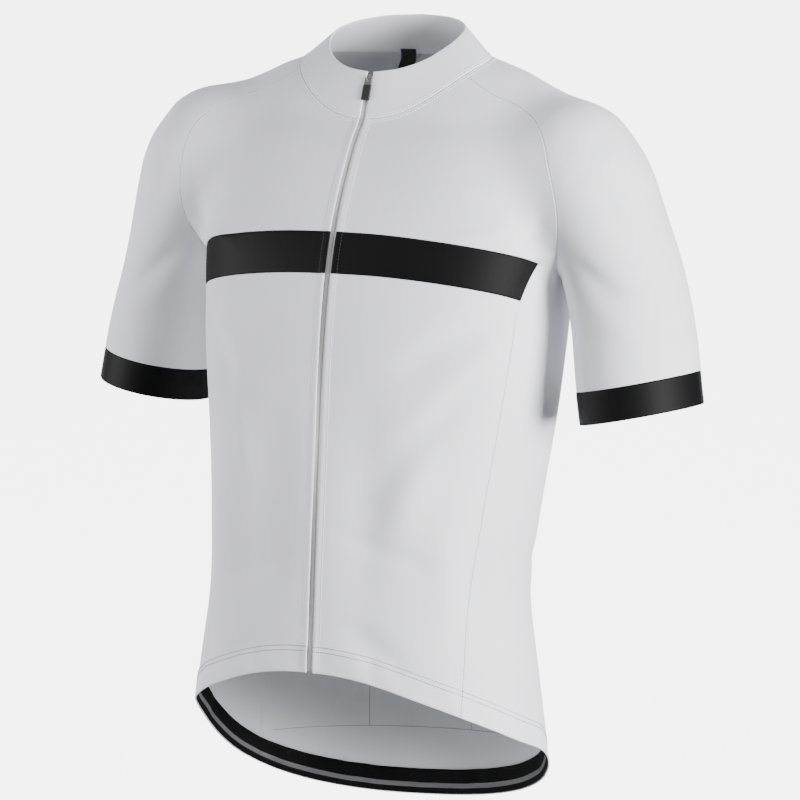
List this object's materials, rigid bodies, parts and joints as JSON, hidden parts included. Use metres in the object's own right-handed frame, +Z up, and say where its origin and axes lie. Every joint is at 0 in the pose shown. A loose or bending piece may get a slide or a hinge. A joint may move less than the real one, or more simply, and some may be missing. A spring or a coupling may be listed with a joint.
{
  "type": "cycling jersey",
  "caption": "Short-sleeved raglan cycling jersey with a full front zip, chest band, stand collar and dropped back hem, hollow as worn.",
  "frame": {"origin": "middle of the neck opening, at the height where the shoulders carry the garment", "axes": "+Z up, the front with the zip faces -Y, the left sleeve as worn is at +X"},
  "size_m": [0.6444, 0.2912, 0.7865],
  "materials": {
    "white_cloth": "matt knitted polyester",
    "collar_cloth": "matt doubled knit",
    "black_cloth": "matt knitted polyester",
    "black_elastic": "matt elastic tape",
    "zip_tape": "woven tape with nylon coil",
    "zip_metal": "plated zinc, satin",
    "pull_rubber": "moulded rubber grip"
  },
  "bodies": {
    "jersey": {"front_lower_left": "white_cloth", "front_lower_right": "white_cloth", "chest_band_left": "black_cloth", "chest_band_right": "black_cloth", "front_chest_left": "white_cloth", "front_chest_right": "white_cloth", "side_panel_left": "white_cloth", "side_panel_right": "white_cloth", "back_panel": "white_cloth", "sleeve_left": "white_cloth", "sleeve_right": "white_cloth", "cuff_left": "black_cloth", "cuff_right": "black_cloth", "collar": "collar_cloth", "zip_tape_left": "zip_tape", "zip_tape_right": "zip_tape", "zip_coil": "zip_tape", "zip_slider": "zip_metal", "neck_label": "black_elastic", "hem_gripper": "black_elastic", "pocket_panel": "white_cloth"},
    "zip_pull": {"pull_link": "zip_metal", "pull_grip": "pull_rubber"}
  },
  "joints": [
    {"name": "pull_tab_swing", "type": "hinge", "parent": "jersey", "child": "zip_pull", "pos_m": [0, -0.06572, 0.00325], "axis": [-1, 0, 0], "range_deg": [0, 150]}
  ]
}
